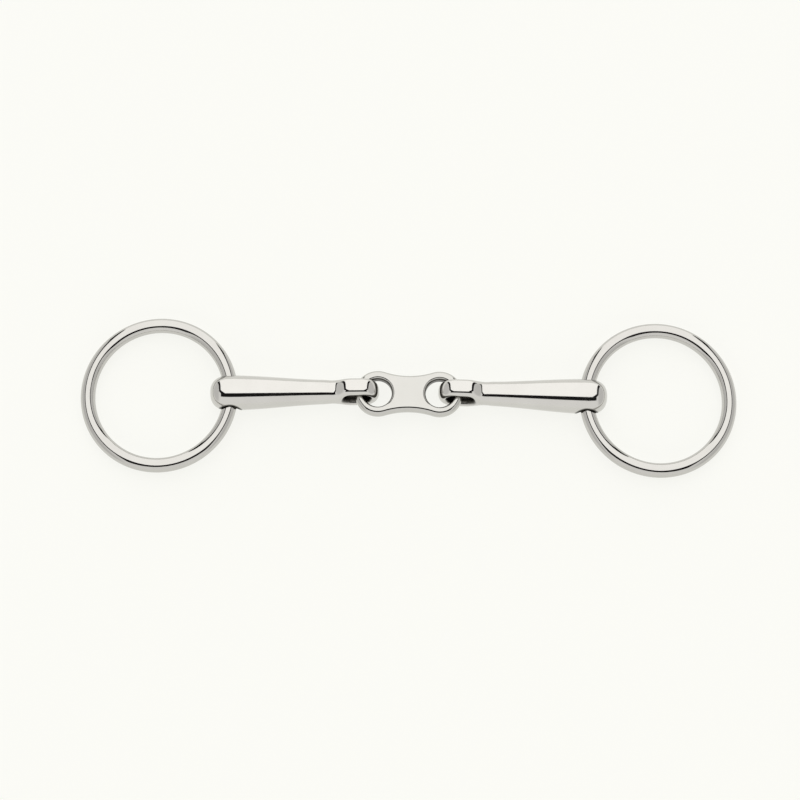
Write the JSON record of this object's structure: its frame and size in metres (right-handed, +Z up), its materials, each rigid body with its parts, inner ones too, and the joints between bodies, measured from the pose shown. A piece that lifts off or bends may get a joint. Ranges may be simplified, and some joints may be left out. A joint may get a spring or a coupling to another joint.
{
  "type": "snaffle bit",
  "caption": "Loose-ring snaffle bit: round rings run through bores in tapered mouthpiece arms, whose upright eyes hook the rims of a flat dog-bone middle link.",
  "frame": {"origin": "on the surface that the straight-laid bit rests on, under the middle of its outline, 0.8 mm below the link plate's middle in Y", "axes": "+X along the mouthpiece towards the right ring, +Y across it along the bores, +Z up, square to the link plate"},
  "size_m": [0.2698, 0.065, 0.0144],
  "materials": {
    "ring_steel": "stainless steel round bar, polished bright, not plated",
    "mouthpiece_steel": "forged stainless steel, mirror polished with a faint hand-polished waviness, not plated",
    "link_steel": "stainless steel plate, tumbled and polished, not plated"
  },
  "bodies": {
    "link": {"link_plate": "link_steel"},
    "left_arm": {"left_cannon": "mouthpiece_steel"},
    "right_arm": {"right_cannon": "mouthpiece_steel"},
    "left_loop": {"left_ring": "ring_steel"},
    "right_loop": {"right_ring": "ring_steel"}
  },
  "joints": [
    {"name": "right_cannon_swivel", "type": "hinge", "parent": "link", "child": "right_arm", "pos_m": [0.01265, 0.00084, 0.0072], "axis": [0, 0, 1], "range_deg": [-60, 60]},
    {"name": "left_cannon_swivel", "type": "hinge", "parent": "link", "child": "left_arm", "pos_m": [-0.01265, 0.00084, 0.0072], "axis": [0, 0, -1], "range_deg": [-60, 60]},
    {"name": "right_ring_swing", "type": "hinge", "parent": "right_arm", "child": "right_loop", "pos_m": [0.07301, 0.00059, 0.0064], "axis": [-0.0201, -0.9998, 0], "range_deg": [-120, 120]},
    {"name": "left_ring_swing", "type": "hinge", "parent": "left_arm", "child": "left_loop", "pos_m": [-0.07301, 0.00059, 0.0064], "axis": [-0.0201, 0.9998, 0], "range_deg": [-120, 120]}
  ]
}
